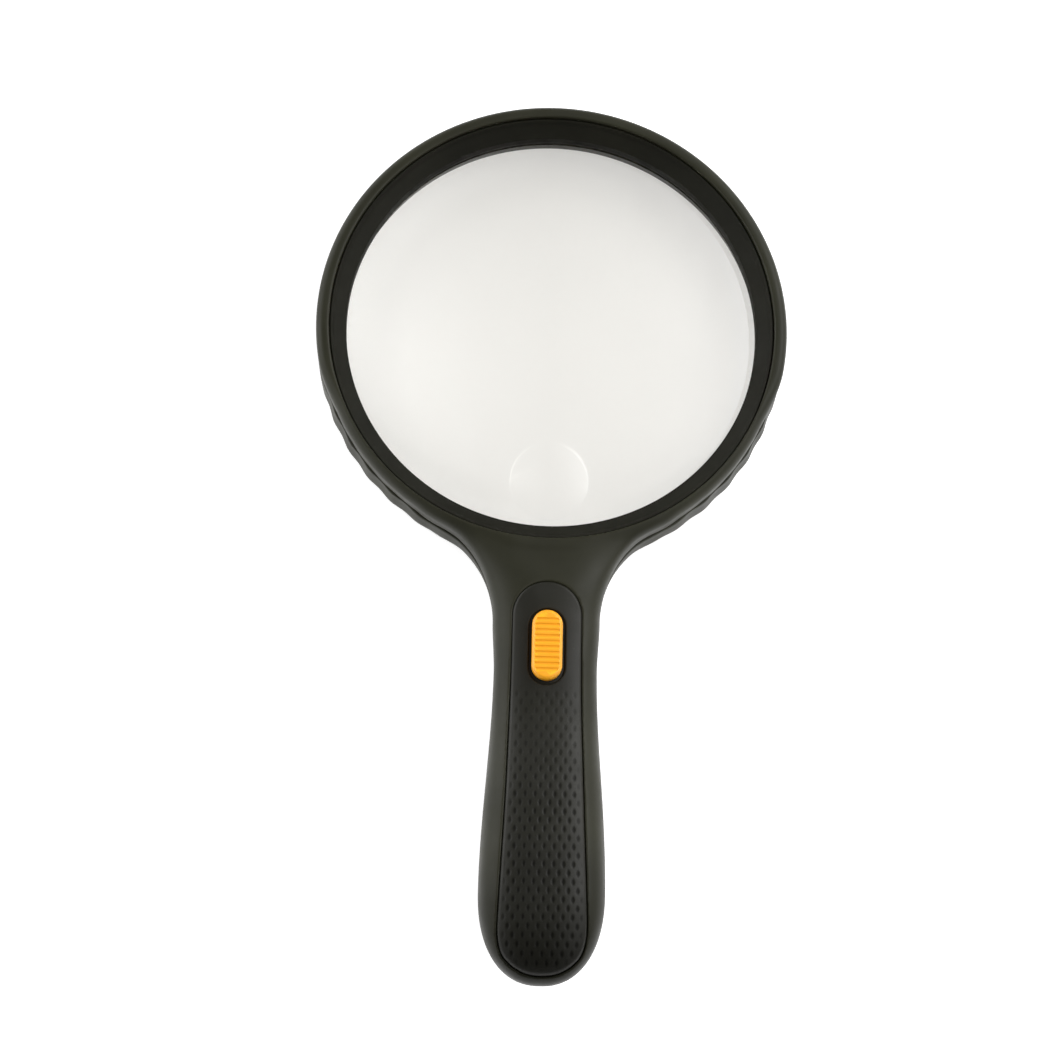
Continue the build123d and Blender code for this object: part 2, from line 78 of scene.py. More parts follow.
# ring; angles are degrees below the lens's middle line, and beside the neck the ring's side is drawn in
ARC_START, ARC_END = (10, 26), (74, 84)
FINGERS_START, FINGERS_END = (12, 19), (60, 68)
FINGER_FIRST, FINGER_PITCH, FINGER_DEEP = 19.6, 8.2, 0.45
FINGER_FOOT = (0.8, 2.0)
RING_LEAN_FRONT, RING_LEAN_REAR = 1.5, 0.85
LEAN_FOOT, LEAN_TOP = 3, (14, 19)
RING_CORE = 50
RING_ROUND, RING_ROUND_MORE = 2.7, 1.9
RING_NOTCH, RING_NOTCH_LESS, NOTCH_WIDE, NOTCH_POWER = 0.22, 0.12, 0.7, 2.2

# where the handle joins the ring
GRIP_NOTCH, GRIP_NOTCH_END = 0.2, (200, 212)
NEAR_RING = (66, 94)
GRIP_START, GRIP_BURIED, GRIP_EMERGES = 62, 2.0, (60, 67)
GRIP_LEAN_FRONT, GRIP_LEAN_REAR = 1.3, 0.75
MELT = 2.0

# inside of the shells; a screw is (x, station, height of its head's seat)
HOLLOW_START = 64
WALL_MORE_FRONT, WALL_MORE_REAR = 1.3, 0.8
BULKHEADS = [(144.2, 145.6), (195.1, 196.5)]
SCREWS = [(-19.0, 78.5, 4.0), (19.0, 78.5, 4.0), (-10.9, 100.0, 4.4), (10.9, 100.0, 4.4), (0.0, 206.0, 6.6)]
SCREW_HEAD_R, SCREW_R = 2.6, 1.5
BOSS_FRONT_R, BOSS_REAR_R = 2.8, 3.3
FRONT_CHANNEL_R, FRONT_CHANNEL_TOP = RING_R - WALL - 0.6, 13.5
BEZEL_R = 73.3
LIP_IN, FRONT_CHANNEL_IN, FRONT_HOLLOW_IN = BEZEL_R + 0.3, BEZEL_R + 0.4, BEZEL_R + 2.2
REAR_CHANNEL_IN, REAR_CHANNEL_R = 71.0, RING_R - WALL - 0.8
FAR = 99.0

# lens and insert
LENS_R = (lens_high.x - lens_low.x) / 2 / MM
LENS_BACK_EDGE, LENS_EDGE, LENS_SPHERE = 7.8, 2.5, 345.0
APERTURE_R = 68.1
INSERT_STATION, INSERT_R, INSERT_SPHERE, INSERT_STEP = 52.6, 12.7, 58.0, 0.1

# grip pad: its side line widens from the waist to the belly
PAD_TOP, PAD_ARCH_R = 88.4, 11.2
PAD_FLOOR, PAD_END = 14.0, 213.6
PAD_SIDE_S = np.linspace(100, 216, 117)
PAD_SIDE_X = np.interp(PAD_SIDE_S, [100, 126, 160, 191, 205], [0.0, 0.1, 1.1, 2.55, 3.0])
PAD_SIDE_X = np.convolve(np.pad(PAD_SIDE_X, 12, "edge"), np.ones(25) / 25, "valid")
PAD_EDGE, PAD_END_SCALE, PAD_CORNER = 2.3, 21, 3.0
DIAMOND_ACROSS, DIAMOND_ALONG = 3.05, 5.45
DIAMOND_MARGIN, DIAMOND_FADE = 0.8, 1.8
DIAMOND_FAINT, DIAMOND_FULL = (122.0, 126.0), (130.0, 165.0)
DIAMOND_PROUD, DIAMOND_DEEP = 0.04, 0.14

# switch knob and its slot
KNOB = RING_Y - (knob_low.y + knob_high.y) / 2 / MM
KNOB_L, KNOB_W, KNOB_H = 22.7, 9.7, 3.2
KNOB_BASE = WAIST_TOP + 0.3
TRAVEL = 4.0
SLOT_W, SLOT_L, SLOT_FLOOR = 2.2, 6.1, 15
STEM_END = 18.2
RIB_GAPS, RIB_PITCH, RIB_GAP_FIRST = 10, 1.8, 8.1

# battery door and lamp window
HINGE, HINGE_Z, KNUCKLE_R = 148.0, 1.15, 1.15
DOOR_END, DOOR_W, DOOR_GAP = 193.4, 11.6, 0.3
KNUCKLE_W = 8.5
DOOR_CUT = (-2, 6)
GROOVES, GROOVE_PITCH = 3, 1.9
WINDOW_MID, WINDOW_W, WINDOW_L = 79.6, 24.0, 10.0

# ---------------------------------------------------------------- camera
TILT, SWING, ROLL = 15.57, -5.93, 1.17
DISTANCE = 850.0
SENSOR, FOCAL = 36.0, 89.177143
AIM = (-7.4, -66.73, 10.0)


def place_camera():
    """Camera near the lens normal, leaning to the butt."""
    tilt, swing, roll = (math.radians(v) for v in (TILT, SWING, ROLL))
    back = Vector((math.sin(swing) * math.sin(tilt), -math.cos(swing) * math.sin(tilt), math.cos(tilt)))
    right = Vector((0, 1, 0)).cross(back).normalized()
    up = back.cross(right)
    across = right * math.cos(roll) + up * math.sin(roll)
    above = up * math.cos(roll) - right * math.sin(roll)
    data = bpy.data.cameras.new("camera")
    data.sensor_width = SENSOR
    data.lens = FOCAL
    data.clip_start, data.clip_end = 0.05, 20.0
    camera = bpy.data.objects.new("camera", data)
    bpy.context.scene.collection.objects.link(camera)
    aim = Vector((AIM[0], RING_Y + AIM[1], AIM[2]))
    spot = (aim + back * DISTANCE) * MM
    turn = Matrix((across, above, back)).transposed().to_4x4()
    camera.matrix_world = Matrix.Translation(spot) @ turn
    bpy.context.scene.camera = camera


place_camera()

# ---------------------------------------------------------------- shader helpers


def new_material(name):
    material = bpy.data.materials.new(name)
    material.use_nodes = True
    tree = material.node_tree
    return material, tree, tree.nodes["Principled BSDF"]


def node(tree, kind, **settings):
    """New shader node; each setting is an input's value or the node's own property."""
    made = tree.nodes.new(kind)
    for key, value in settings.items():
        if key in made.inputs:
            made.inputs[key].default_value = value
        else:
            setattr(made, key, value)
    return made


def ramp(tree, source, stops):
    """Colour ramp through (position, colour) stops."""
    made = node(tree, "ShaderNodeValToRGB")
    made.color_ramp.elements[0].position = stops[0][0]
    made.color_ramp.elements[0].color = stops[0][1]
    made.color_ramp.elements[1].position = stops[-1][0]
    made.color_ramp.elements[1].color = stops[-1][1]
    for position, colour in stops[1:-1]:
        made.color_ramp.elements.new(position).color = colour
    tree.links.new(source, made.inputs["Fac"])
    return made.outputs["Color"]


def grey(v):
    return (v, v, v, 1)


def grey_ramp(tree, source, *stops):
    """Ramp through greys given as (position, value)."""
    return ramp(tree, source, [(position, grey(value)) for position, value in stops])


def mottle(tree, source, low, high):
    """Ramp over the middle of a noise, from one colour to the other."""
    return ramp(tree, source, [(0.3, low), (0.7, high)])


def shade(colour, k):
    return (colour[0] * k, colour[1] * k, colour[2] * k, 1)


def noise(tree, scale, detail=3.0, rough=0.5):
    place = node(tree, "ShaderNodeTexCoord")
    made = node(tree, "ShaderNodeTexNoise", Scale=scale, Detail=detail, Roughness=rough)
    tree.links.new(place.outputs["Object"], made.inputs["Vector"])
    return made.outputs["Fac"]


def combine(tree, a, b, how):
    """Two colours multiplied or added."""
    mix = node(tree, "ShaderNodeMix", data_type="RGBA", blend_type=how)
    mix.inputs["Factor"].default_value = 1.0
    tree.links.new(a, mix.inputs["A"])
    tree.links.new(b, mix.inputs["B"])
    return mix.outputs["Result"]


def rough_relief(tree, shader, height, strength, distance):
    """Fine relief in the shading, too small for the mesh."""
    relief = node(tree, "ShaderNodeBump", Strength=strength, Distance=distance)
    tree.links.new(height, relief.inputs["Height"])
    tree.links.new(relief.outputs["Normal"], shader.inputs["Normal"])


def butt_painted_shade(tree, butt_shade):
    """Painted shade towards the butt: 1 over most of the length, falling at the butt end to the given factor.
    """
    reach = 0.25
    place = node(tree, "ShaderNodeTexCoord")
    split = node(tree, "ShaderNodeSeparateXYZ")
    tree.links.new(place.outputs["Object"], split.inputs["Vector"])
    station = node(tree, "ShaderNodeMath", operation="MULTIPLY_ADD")
    station.inputs[1].default_value = -1 / reach
    station.inputs[2].default_value = RING_Y * MM / reach
    tree.links.new(split.outputs["Y"], station.inputs[0])
    return grey_ramp(tree, station.outputs["Value"], (0.68, 1.0), (0.86, butt_shade))


def moulded(name, colour, roughness, grain=2600.0, bump=0.12, spread=0.18, wear=0.25, specular=0.5,
            coat=0.0, pits=False, butt_shade=1.0):
    """Moulded plastic or rubber: mottled colour, fine grain in the relief, rubbed edges, and painted shade
    that darkens colour and highlights towards the butt end and, when asked, in the pits.
    """
    rubbed, pit_shade, grain_depth = 2.2, 0.42, 0.00012
    material, tree, shader = new_material(name)
    broad = noise(tree, 38.0, 4.0)
    tint = mottle(tree, broad, shade(colour, 1 - spread), shade(colour, 1 + spread))
    geometry = node(tree, "ShaderNodeNewGeometry")
    edge = grey_ramp(tree, geometry.outputs["Pointiness"], (0.505, 0), (0.56, wear))
    mix = node(tree, "ShaderNodeMix", data_type="RGBA")
    tree.links.new(edge, mix.inputs["Factor"])
    tree.links.new(tint, mix.inputs["A"])
    mix.inputs["B"].default_value = shade(colour, rubbed)
    fine = noise(tree, grain, 2.0)
    gloss = noise(tree, 90.0, 5.0, 0.6)
    low, high = max(roughness - 0.06, 0.02), min(roughness + 0.07, 1.0)
    tree.links.new(mottle(tree, gloss, grey(low), grey(high)), shader.inputs["Roughness"])
    # painted shade: colour and highlights darken towards the butt end
    dark = butt_painted_shade(tree, butt_shade)
    # painted shade in the pits: the deeper a point lies in a pit, the darker its colour and highlights
    if pits:
        depth = node(tree, "ShaderNodeAttribute", attribute_name="pit")
        shade_in_pit = grey_ramp(tree, depth.outputs["Fac"], (0.0, 1.0), (1.0, pit_shade))
        dark = combine(tree, dark, shade_in_pit, "MULTIPLY")
    tree.links.new(combine(tree, mix.outputs["Result"], dark, "MULTIPLY"), shader.inputs["Base Color"])
    tree.links.new(dark, shader.inputs["Specular Tint"])
    rough_relief(tree, shader, fine, bump, grain_depth)
    shader.inputs["Specular IOR Level"].default_value = specular
    shader.inputs["Coat Weight"].default_value = coat
    return material


def metal(name, colour, roughness, stretch=(1, 1, 1)):
    """Plated or drawn metal with fine streaks."""
    material, tree, shader = new_material(name)
    place = node(tree, "ShaderNodeTexCoord")
    scale = node(tree, "ShaderNodeMapping")
    scale.inputs["Scale"].default_value = stretch
    grain = node(tree, "ShaderNodeTexNoise", Scale=900.0, Detail=3.0)
    tree.links.new(place.outputs["Object"], scale.inputs["Vector"])
    tree.links.new(scale.outputs["Vector"], grain.inputs["Vector"])
    streak = grain.outputs["Fac"]
    tint = mottle(tree, streak, shade(colour, 0.82), shade(colour, 1.1))
    gloss = mottle(tree, streak, grey(roughness * 0.7), grey(roughness * 1.3))
    tree.links.new(tint, shader.inputs["Base Color"])
    tree.links.new(gloss, shader.inputs["Roughness"])
    rough_relief(tree, shader, streak, 0.1, 0.00005)
    shader.inputs["Metallic"].default_value = 1.0
    return material


def clear(name, colour, roughness, ior):
    """Clear moulded plastic: faint haze and tint, and most light passes through where it casts a shadow."""
    haze_more, tint_less, shadow_pass = 0.03, 0.985, 0.7
    material, tree, shader = new_material(name)
    haze = noise(tree, 160.0, 6.0, 0.65)
    gloss = grey_ramp(tree, haze, (0.45, roughness), (0.75, roughness + haze_more))
    tree.links.new(gloss, shader.inputs["Roughness"])
    tint = mottle(tree, noise(tree, 12.0, 2.0), shade(colour, tint_less), shade(colour, 1.0))
    tree.links.new(tint, shader.inputs["Base Color"])
    shader.inputs["Transmission Weight"].default_value = 1.0
    shader.inputs["IOR"].default_value = ior
    ray = node(tree, "ShaderNodeLightPath")
    through = node(tree, "ShaderNodeBsdfTransparent")
    through.inputs["Color"].default_value = shade(colour, shadow_pass)
    mix = node(tree, "ShaderNodeMixShader")
    output = tree.nodes["Material Output"]
    tree.links.new(ray.outputs["Is Shadow Ray"], mix.inputs["Fac"])
    tree.links.new(shader.outputs["BSDF"], mix.inputs[1])
    tree.links.new(through.outputs["BSDF"], mix.inputs[2])
    tree.links.new(mix.outputs["Shader"], output.inputs["Surface"])
    return material


# ---------------------------------------------------------------- materials
# the last factor of the shell and the pad sets their painted shade at the butt end
SHELL = moulded("shell_plastic", (0.022, 0.022, 0.0125), 0.43, wear=0.1, specular=0.2, butt_shade=0.38)
BEZEL = moulded("bezel_plastic", (0.012, 0.0117, 0.0078), 0.6, specular=0.12)
PAD = moulded("grip_rubber", (0.0125, 0.0122, 0.0082), 0.42, grain=3200.0, bump=0.15, specular=0.28,
              pits=True, butt_shade=0.5)
ORANGE = moulded("knob_plastic", (0.93, 0.39, 0.012), 0.34, bump=0.06, spread=0.05, wear=0.3)
LENS = clear("lens_clear", (0.8, 0.793, 0.772), 0.0, 1.49)
MATERIALS = {
    "shell_plastic": SHELL,
    "bezel_plastic": BEZEL,
    "grip_rubber": PAD,
    "knob_plastic": ORANGE,
    "lens_clear": LENS,
    "bare_steel": metal("bare_steel", (0.62, 0.61, 0.58), 0.3, (1, 8, 1)),
    "phenolic": moulded("phenolic", (0.13, 0.05, 0.018), 0.55, spread=0.3),
    "contact_brass": metal("contact_brass", (0.75, 0.56, 0.24), 0.28),
    "black_plastic": moulded("black_plastic", (0.012, 0.012, 0.012), 0.45),
    "screw_steel": metal("screw_steel", (0.42, 0.42, 0.43), 0.35),
    "window_clear": clear("window_clear", (0.96, 0.97, 0.98), 0.05, 1.49),
    "board_green": moulded("board_green", (0.012, 0.10, 0.035), 0.35, grain=1200.0, coat=0.4),
    "lamp_clear": clear("lamp_clear", (0.97, 0.96, 0.9), 0.04, 1.5),
    "resistor_tan": moulded("resistor_tan", (0.42, 0.26, 0.13), 0.4),
    "cell_label": moulded("cell_label", (0.05, 0.055, 0.065), 0.3, bump=0.03, coat=0.4),
    "spring_steel": metal("spring_steel", (0.68, 0.67, 0.64), 0.25),
    "wire_red": moulded("wire_red", (0.40, 0.02, 0.015), 0.42),
    "wire_white": moulded("wire_white", (0.62, 0.6, 0.55), 0.45),
    "wire_black": moulded("wire_black", (0.012, 0.012, 0.012), 0.45),
}
for row in frame["record"]["subparts"]:
    shown = nodes[row["node"]]
    shown.data.materials.clear()
    shown.data.materials.append(MATERIALS[row["material_slot"]])

# ---------------------------------------------------------------- shape of the housing


def ease(v, start, end):
    t = np.clip((v - start) / (end - start), 0.0, 1.0)
    return t * t * (3 - 2 * t)


def half_width(s):
    """Half width of the handle in plan, with the flare that runs into the ring."""
    side = NECK_W + FLARE_R
    centre = math.sqrt((RING_R + FLARE_R) ** 2 - side**2)
    touch = centre * RING_R / (RING_R + FLARE_R)
    flare = side - np.sqrt(FLARE_R**2 - np.clip(centre - s, 0, centre - touch) ** 2)
    rim = np.sqrt(RING_R**2 - np.clip(s, RIM_START, touch) ** 2)
    flare = np.where(s < touch, rim, flare)
    waist = NECK_W + (WAIST_W - NECK_W) * ease(s, centre, WAIST)
    belly = WAIST_W + (BELLY_W - WAIST_W) * ease(s, WAIST, BELLY)
    return np.where(s < centre, flare, np.where(s < WAIST, waist, belly))


def front_z(s):
    low = NECK_TOP + (WAIST_TOP - NECK_TOP) * ease(s, *NECK_RISE)
    return low + (BELLY_TOP - WAIST_TOP) * ease(s, *BELLY_RISE)


def back_z(s):
    return BACK_LIFT * (ease(s, *BACK_UP) - ease(s, *BACK_DOWN))


def handle_gap(x, s, z):
    """Distance outside the handle surface, less inside; near enough within a few mm of it."""
    a, b = half_width(s), (front_z(s) - back_z(s)) / 2
    slope = (half_width(s + SLOPE_STEP) - half_width(s - SLOPE_STEP)) / (2 * SLOPE_STEP)
    mid = (front_z(s) + back_z(s)) / 2
    n = SECTION_N + NECK_SQUARER * (1 - ease(s, *NECK_SQUARE_RUN))
    u, w = np.abs(x) / a, np.abs(z - mid) / b
    q = np.maximum((u**n + w**n) ** (1 / n), NEAR_AXIS)
    over = q ** (1 - n)
    du = over * u ** (n - 1) / a
    dw = over * w ** (n - 1) / b
    ds = -over * u**n * slope / a
    t = np.maximum(s - BELLY, 0.0) / (BUTT - BELLY)
    g = (q**BUTT_N + t**BUTT_N) ** (1 / BUTT_N)
    kq = (q / g) ** (BUTT_N - 1)
    kt = (t / g) ** (BUTT_N - 1) / (BUTT - BELLY)
    size = np.sqrt((kq * du) ** 2 + (kq * dw) ** 2 + (kq * ds + kt) ** 2)
    return (g - 1) / np.maximum(size, FLATTEST)


def blend_min(a, b, k):
    """The smaller of two distances, rounded over k where they meet."""
    h = np.clip(0.5 + 0.5 * (b - a) / k, 0.0, 1.0)
    return b + (a - b) * h - k * h * (1 - h)


def blend_max(a, b, k):
    return -blend_min(-a, -b, k)


def rounded_box(p, q, half_p, half_q, r):
    """Distance to a 2-D box with round corners."""
    dp, dq = np.abs(p) - half_p + r, np.abs(q) - half_q + r
    return np.minimum(np.maximum(dp, dq), 0) + np.hypot(np.maximum(dp, 0), np.maximum(dq, 0)) - r


def block_gap(x, s, z, half, along, height):
    """Distance outside a block of that half width, from station to station and height to height."""
    ds = np.maximum(along[0] - s, s - along[1])
    dz = np.maximum(height[0] - z, z - height[1])
    return np.maximum(np.maximum(np.abs(x) - half, ds), dz)


def stadium_gap(x, s, middle, half_length, radius):
    """Plan distance outside a stadium along the handle; half_length is that of its straight part."""
    return np.hypot(x, np.maximum(np.abs(s - middle) - half_length, 0)) - radius


def seam_notch(z, deep):
    """How far the side wall draws in towards the parting plane."""
    return deep * np.exp(-np.abs((z - PART_Z) / NOTCH_WIDE) ** NOTCH_POWER)


def ring_gap(x, s, z, front):
    """Distance outside the ring; the rear shell has finger scallops, and both lean in beside the neck."""
    r = np.hypot(x, s)
    below = np.degrees(np.arctan2(s, np.abs(x)))
    beside_neck = ease(below, *ARC_START) * (1 - ease(below, *ARC_END))
    if front:
        drawn = RING_LEAN_FRONT * beside_neck
    else:
        wave = 0.5 + 0.5 * np.cos(2 * np.pi * (below - FINGER_FIRST) / FINGER_PITCH)
        fingers = ease(below, *FINGERS_START) * (1 - ease(below, *FINGERS_END)) * ease(z, *FINGER_FOOT)
        lean = RING_LEAN_REAR * beside_neck * ease(z, LEAN_FOOT, PART_Z)
        drawn = FINGER_DEEP * wave * fingers + lean
    outer = RING_R - drawn - seam_notch(z, RING_NOTCH - RING_NOTCH_LESS * beside_neck)
    p = r - (outer + RING_CORE) / 2
    corner = RING_ROUND + RING_ROUND_MORE * beside_neck
    return rounded_box(p, z - RING_H / 2, (outer - RING_CORE) / 2, RING_H / 2, corner)


def hull_gap(x, s, z, front):
    """Ring and handle melted together."""
    grip = handle_gap(x, s, z)
    grip = grip + seam_notch(z, GRIP_NOTCH) * (1 - ease(s, *GRIP_NOTCH_END))
    near_ring = 1 - ease(s, *NEAR_RING)
    grip = grip + GRIP_BURIED * (1 - ease(s, *GRIP_EMERGES))
    if front:
        grip = grip + GRIP_LEAN_FRONT * near_ring * (1 - ease(z, *LEAN_TOP))
    else:
        grip = grip + GRIP_LEAN_REAR * near_ring * ease(z, LEAN_FOOT, PART_Z)
    grip = np.maximum(grip, GRIP_START - s)
    return np.maximum(blend_min(ring_gap(x, s, z, front), grip, MELT), -z)


def pad_gap(x, s, grow=0.0):
    """Plan distance outside the grip pad's outline."""
    wide = PAD_ARCH_R + np.interp(s, PAD_SIDE_S, PAD_SIDE_X) + grow
    arch = np.hypot(x, np.minimum(s - PAD_TOP - PAD_ARCH_R, 0)) - wide
    u = np.abs(x) / (BELLY_W - PAD_EDGE)
    t = np.maximum(s - BELLY, 0) / (PAD_END - BELLY)
    end = ((u**BUTT_N + t**BUTT_N) ** (1 / BUTT_N) - 1) * PAD_END_SCALE - grow
    return blend_max(arch, end, PAD_CORNER)


def screw_wells(x, s, z):
    """Counterbores and clearance holes of the housing screws."""
    gap = np.full(np.broadcast(x, s, z).shape, FAR)
    for sx, ss, seat in SCREWS:
        r = np.hypot(x - sx, s - ss)
        gap = np.minimum(gap, np.maximum(r - SCREW_HEAD_R, z - seat))
        gap = np.minimum(gap, r - SCREW_R)
    return gap


def boss_columns(x, s, radius):
    """Plan distance outside the columns that take the housing screws."""
    gap = np.full(np.broadcast(x, s).shape, FAR)
    for sx, ss, _ in SCREWS:
        gap = np.minimum(gap, np.hypot(x - sx, s - ss) - radius)
    return gap


def bulkhead_gap(s):
    head, butt = (np.maximum(start - s, s - end) for start, end in BULKHEADS)
    return np.minimum(head, butt)


def stem_slot(x, s):
    """Slot that the knob's stem runs in, through the pad and the front shell."""
    return np.maximum(np.abs(x) - SLOT_W, np.abs(s - (KNOB - TRAVEL / 2)) - SLOT_L)


def handle_hollow(x, s, z, wall, ring_in, boss_r):
    """Room inside the handle, negative inside; bulkheads and screw bosses stand in it."""
    near_ring = 1 - ease(s, *NEAR_RING)
    hollow = np.maximum(handle_gap(x, s, z) + (wall[0] + wall[1] * near_ring), ring_in - np.hypot(x, s))
    hollow = np.maximum(hollow, HOLLOW_START - s)
    hollow = np.maximum(hollow, -bulkhead_gap(s))
    return np.maximum(hollow, -boss_columns(x, s, boss_r))


def pad_bed(x, s, z):
    """Recess in the front shell that the grip pad lies in, with a groove round the pad."""
    groove, groove_more, under = -0.04, 0.17, 0.22
    bed = np.maximum(pad_gap(x, s, groove_more * ease(s, 108, 140) + groove), PAD_FLOOR - under - z)
    return np.maximum(bed, -(handle_gap(x, s, z) + PAD_T))


def front_field(x, s, z):
    """Front shell, negative inside."""
    lip_round, bed_round = 0.5, 0.6
    r = np.hypot(x, s)
    shell = np.maximum(hull_gap(x, s, z, True), PART_Z + SEAM - z)
    shell = blend_max(shell, LIP_IN - r, lip_round)
    hollow = handle_hollow(x, s, z, (FRONT_WALL, WALL_MORE_FRONT), FRONT_HOLLOW_IN, BOSS_FRONT_R)
    channel = np.maximum(np.maximum(r - FRONT_CHANNEL_R, z - FRONT_CHANNEL_TOP), FRONT_CHANNEL_IN - r)
    shell = np.maximum(shell, -np.minimum(hollow, channel))
    shell = blend_max(shell, -pad_bed(x, s, z), bed_round)
    return np.maximum(shell, -np.maximum(stem_slot(x, s), SLOT_FLOOR - z))


def rear_field(x, s, z):
    """Rear shell, negative inside."""
    aperture_round, opening_round = 1.2, 0.3
    lens_play, lens_sink = 0.2, 0.02
    r = np.hypot(x, s)
    shell = np.maximum(hull_gap(x, s, z, False), z - PART_Z + SEAM)
    shell = blend_max(shell, APERTURE_R - r, aperture_round)
    shell = np.maximum(shell, -np.maximum(r - LENS_R - lens_play, LENS_BACK_EDGE - lens_sink - z))
    hollow = handle_hollow(x, s, z, (WALL, WALL_MORE_REAR), REAR_CHANNEL_IN, BOSS_REAR_R)
    channel = np.maximum(np.maximum(r - REAR_CHANNEL_R, REAR_CHANNEL_IN - r), WALL - z)
    shell = np.maximum(shell, -np.minimum(hollow, channel))
    shell = blend_max(shell, -screw_wells(x, s, z), opening_round)
    shell = blend_max(shell, -door_opening(x, s, z), opening_round)
    return np.maximum(shell, -window_opening(x, s, z))


def door_opening(x, s, z):
    """Opening for the battery door and its hinge knuckle."""
    half = DOOR_W + DOOR_GAP
    opening = block_gap(x, s, z, half, (HINGE, DOOR_END + DOOR_GAP), DOOR_CUT)
    knuckle = np.hypot(s - HINGE, z - HINGE_Z) - KNUCKLE_R - DOOR_GAP
    return np.minimum(opening, np.maximum(knuckle, np.abs(x) - DOOR_W - DOOR_GAP))


def window_opening(x, s, z):
    """Stepped opening for the lamp window: the hole itself, and room for its flange inside."""
    play, flange = 0.1, 1.1
    start, end = WINDOW_MID - WINDOW_L / 2, WINDOW_MID + WINDOW_L / 2
    hole = block_gap(x, s, z, WINDOW_W / 2 + play, (start - play, end + play), (-2, 4))
    step = block_gap(x, s, z, WINDOW_W / 2 + flange, (start - flange, end + flange), (1.4, 9))
    return np.minimum(hole, step)


def door_field(x, s, z):
    """Battery door with knuckle, rib and thumb grooves."""
    rib_w, rib_short, rib_height = 0.9, 4, (1.2, 3.7)
    groove_first, groove_w, groove_r, groove_z = 5, 5.5, 0.62, -0.2
    handle = handle_gap(x, s, z)
    plate = np.maximum(handle, -(handle + WALL))
    plan = block_gap(x, s, z, DOOR_W, (HINGE, DOOR_END), DOOR_CUT)
    door = blend_max(plate, plan, 0.4)
    knuckle = np.maximum(np.hypot(s - HINGE, z - HINGE_Z) - KNUCKLE_R, np.abs(x) - KNUCKLE_W)
    rib = block_gap(x, s, z, rib_w, (HINGE + rib_short, DOOR_END - rib_short), rib_height)
    door = np.minimum(np.minimum(door, knuckle), rib)
    for i in range(GROOVES):
        groove = np.hypot(s - (DOOR_END - groove_first - GROOVE_PITCH * i), z - groove_z) - groove_r
        door = blend_max(door, -np.maximum(groove, np.abs(x) - groove_w), 0.2)
    return door


def pad_relief(x, s):
    """Lattice of the grip: 0 in the round-bottomed diamond pits and 1 on the crossing ridges."""
    u = x / DIAMOND_ACROSS + s / DIAMOND_ALONG
    v = x / DIAMOND_ACROSS - s / DIAMOND_ALONG
    pit = (0.5 + 0.5 * np.cos(2 * np.pi * u)) * (0.5 + 0.5 * np.cos(2 * np.pi * v))
    return 1 - ease(pit, 0.12, 0.95)


def pad_pattern_area(x, s):
    """Where the diamonds are: 1 inside, fading to 0 at the smooth margins."""
    margin = -pad_gap(x, s) - DIAMOND_MARGIN
    return ease(margin, 0.0, DIAMOND_FADE) * (0.45 * ease(s, *DIAMOND_FAINT) + 0.55 * ease(s, *DIAMOND_FULL))


def pad_field(x, s, z):
    """Grip pad, negative inside; the knob runs in a shallow dish."""
    dish_wider, dish_deep, dish_round, edge_round, lift = 1.0, 0.9, 0.5, 1.0, 0.02
    handle = handle_gap(x, s, z)
    area = pad_pattern_area(x, s)
    skin = handle - DIAMOND_PROUD * area + DIAMOND_DEEP * area * (1 - pad_relief(x, s))
    dish = stadium_gap(x, s, KNOB, (KNOB_L - KNOB_W) / 2, KNOB_W / 2) - dish_wider
    skin = blend_max(skin, -np.maximum(dish, -handle - dish_deep), dish_round)
    pad = np.maximum(blend_max(skin, pad_gap(x, s), edge_round), PAD_FLOOR - z)
    pad = np.maximum(pad, -(handle + PAD_T - lift))
    return np.maximum(pad, -stem_slot(x, s))


def knob_field(x, s, z):
    """Thumb slide: stadium with a soft border, grooves across, and the stem with its socket."""
    border, groove_r, groove_lift, groove_short = 0.75, 0.5, 0.1, 0.95
    stem_l, stem_r, stem_into, socket_half, socket_top = 1.85, 1.9, 0.5, 1.55, 20.9
    plan = stadium_gap(x, s, KNOB, (KNOB_L - KNOB_W) / 2, KNOB_W / 2)
    top = z - KNOB_BASE - KNOB_H
    body = blend_max(blend_max(plan, top, 0.8), KNOB_BASE - z, 0.3)
    body = blend_max(body, (plan + top + border) * 0.7071, 0.35)
    for i in range(RIB_GAPS):
        groove = np.hypot(s - (KNOB - RIB_GAP_FIRST + RIB_PITCH * i), top - groove_lift) - groove_r
        body = blend_max(body, -np.maximum(groove, plan + groove_short), 0.15)
    stem = np.maximum(stadium_gap(x, s, KNOB, stem_l, stem_r), z - KNOB_BASE - stem_into)
    body = np.minimum(body, np.maximum(stem, STEM_END - z))
    socket = np.maximum(np.maximum(np.abs(x), np.abs(s - KNOB)) - socket_half, z - socket_top)
    return np.maximum(body, -socket)


# ---------------------------------------------------------------- field to mesh
CORNERS = [(i, j, k) for i in (0, 1) for j in (0, 1) for k in (0, 1)]
SLICE = 40
POLISH_STEPS, POLISH_REACH = 2, 0.35
GRADIENT_STEP, GRADIENT_LEAST = 0.02, 0.05


def sample(field, axes):
    """Field values at the grid points, a slice at a time to save memory."""
    xs, ss, zs = axes
    values = np.empty([len(a) for a in axes], np.float32)
    for i in range(0, len(ss), SLICE):
        part = ss[i:i + SLICE]
        values[:, i:i + SLICE, :] = field(xs[:, None, None], part[None, :, None], zs[None, None, :])
    return values


def mixed_cells(inside):
    """Grid cells with corners on both sides of the surface, and each grid cell's place in that list."""
    n = [v - 1 for v in inside.shape]
    count = np.zeros(n, np.int8)
    for i, j, k in CORNERS:
        count += inside[i:i + n[0], j:j + n[1], k:k + n[2]]
    cells = np.argwhere((count > 0) & (count < len(CORNERS)))
    ids = np.full(n, -1, np.int32)
    ids[tuple(cells.T)] = np.arange(len(cells))
    return cells, ids


